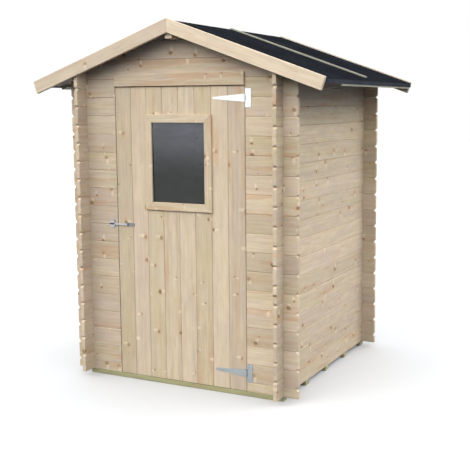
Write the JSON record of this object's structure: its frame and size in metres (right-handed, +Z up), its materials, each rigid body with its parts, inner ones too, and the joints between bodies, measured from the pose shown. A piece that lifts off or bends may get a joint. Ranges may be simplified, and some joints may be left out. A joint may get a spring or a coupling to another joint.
{
  "type": "wooden garden shed",
  "caption": "Small garden shed of interlocking notched planks with a felted pitched roof, treated bearers and a hinged ledged door with a window.",
  "frame": {"origin": "on the ground, under the middle of the shed's overall box", "axes": "+X to the right as one faces the door, +Y from the front to the back, +Z up along the height, which is the longest extent"},
  "size_m": [1.8442, 1.5, 2.0777],
  "materials": {
    "spruce": "untreated sawn and planed spruce with fine knots",
    "planed_spruce": "untreated planed spruce",
    "treated_wood": "pressure treated, olive green",
    "roofing_felt": "mineral bitumen felt, matt",
    "galvanised_steel": "galvanised",
    "window_glass": "clear glazing"
  },
  "bodies": {
    "shed": {"front_bearer": "treated_wood", "second_bearer": "treated_wood", "middle_bearer": "treated_wood", "fourth_bearer": "treated_wood", "rear_bearer": "treated_wood", "floor_boards": "spruce", "left_wall": "spruce", "right_wall": "spruce", "rear_wall": "spruce", "front_wall_left": "spruce", "front_wall_right": "spruce", "front_gable": "spruce", "door_head": "spruce", "door_head_trim": "planed_spruce", "left_door_post": "planed_spruce", "right_door_post": "planed_spruce", "ridge_beam": "planed_spruce", "left_roof_boards": "spruce", "right_roof_boards": "spruce", "left_felt": "roofing_felt", "right_felt": "roofing_felt", "left_eave_strip": "planed_spruce", "right_eave_strip": "planed_spruce", "left_roof_batten": "planed_spruce", "right_roof_batten": "planed_spruce", "front_left_barge": "planed_spruce", "front_right_barge": "planed_spruce", "rear_left_barge": "planed_spruce", "rear_right_barge": "planed_spruce", "upper_hinge_plate": "galvanised_steel", "lower_hinge_plate": "galvanised_steel", "staple": "galvanised_steel"},
    "door": {"door_boards_left": "spruce", "door_boards_right": "spruce", "door_boards_top": "spruce", "door_boards_bottom": "spruce", "top_ledge": "planed_spruce", "middle_ledge": "planed_spruce", "bottom_ledge": "planed_spruce", "window_head": "planed_spruce", "window_sill": "planed_spruce", "window_left_stile": "planed_spruce", "window_right_stile": "planed_spruce", "window_pane": "window_glass", "upper_hinge_strap": "galvanised_steel", "lower_hinge_strap": "galvanised_steel", "hasp": "galvanised_steel"}
  },
  "joints": [
    {"name": "door_swing", "type": "hinge", "parent": "shed", "child": "door", "pos_m": [0.418, -0.649, 0.9], "axis": [0, 0, 1], "range_deg": [0, 150]}
  ]
}
